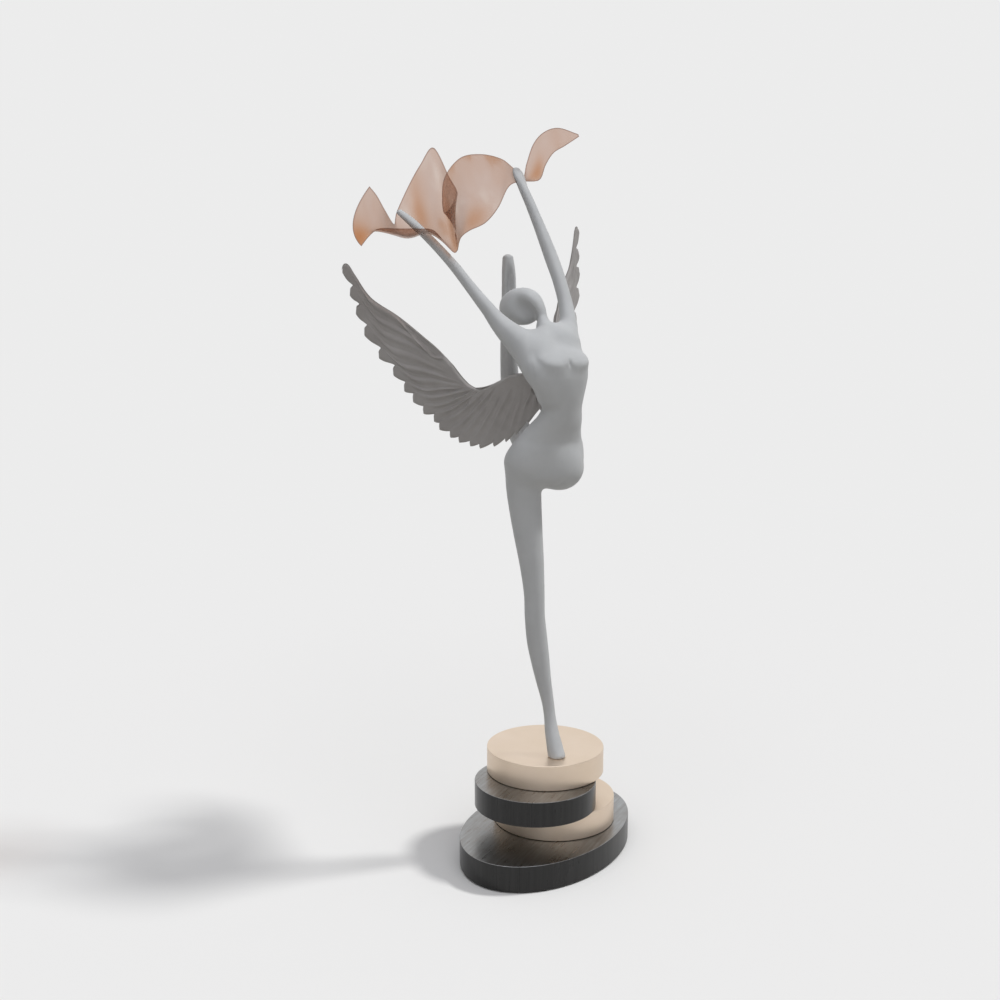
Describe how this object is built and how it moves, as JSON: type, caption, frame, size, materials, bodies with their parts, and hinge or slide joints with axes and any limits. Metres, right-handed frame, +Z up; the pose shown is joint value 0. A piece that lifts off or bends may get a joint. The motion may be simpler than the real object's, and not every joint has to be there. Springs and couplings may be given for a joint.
{
  "type": "figure trophy",
  "caption": "Winged dancer on one leg, holding a translucent scarf overhead, on a stack of offset gold and gunmetal plates.",
  "frame": {"origin": "centre of the oval slab on the table, at the felt pad's underside", "axes": "+Z up; the figure faces -Y; its left side is +X"},
  "size_m": [0.1963, 0.1721, 0.487],
  "materials": {
    "felt": "matt felt",
    "gunmetal": "dark brushed, streaked",
    "champagne_gold": "satin champagne-gold anodised",
    "steel": "plain turned steel",
    "silver_paint": "satin silver-grey",
    "wing_paint": "matt warm grey",
    "tinted_acrylic": "clear peach tint, gloss"
  },
  "bodies": {
    "root": {"felt_pad": "felt", "base_slab": "gunmetal", "middle_disc": "gunmetal", "lower_disc": "champagne_gold", "upper_disc": "champagne_gold", "disc_dowels": "steel", "leg_rod": "steel", "base_washer": "steel", "base_nut": "steel", "neck_peg": "steel", "shoulder_pegs": "steel", "hip_peg": "steel", "right_wing_pins": "steel", "left_wing_pins": "steel", "figure_body": "silver_paint", "figure_head": "silver_paint", "right_arm": "silver_paint", "left_arm": "silver_paint", "raised_leg": "silver_paint", "right_wing": "wing_paint", "left_wing": "wing_paint", "scarf": "tinted_acrylic"}
  },
  "joints": []
}
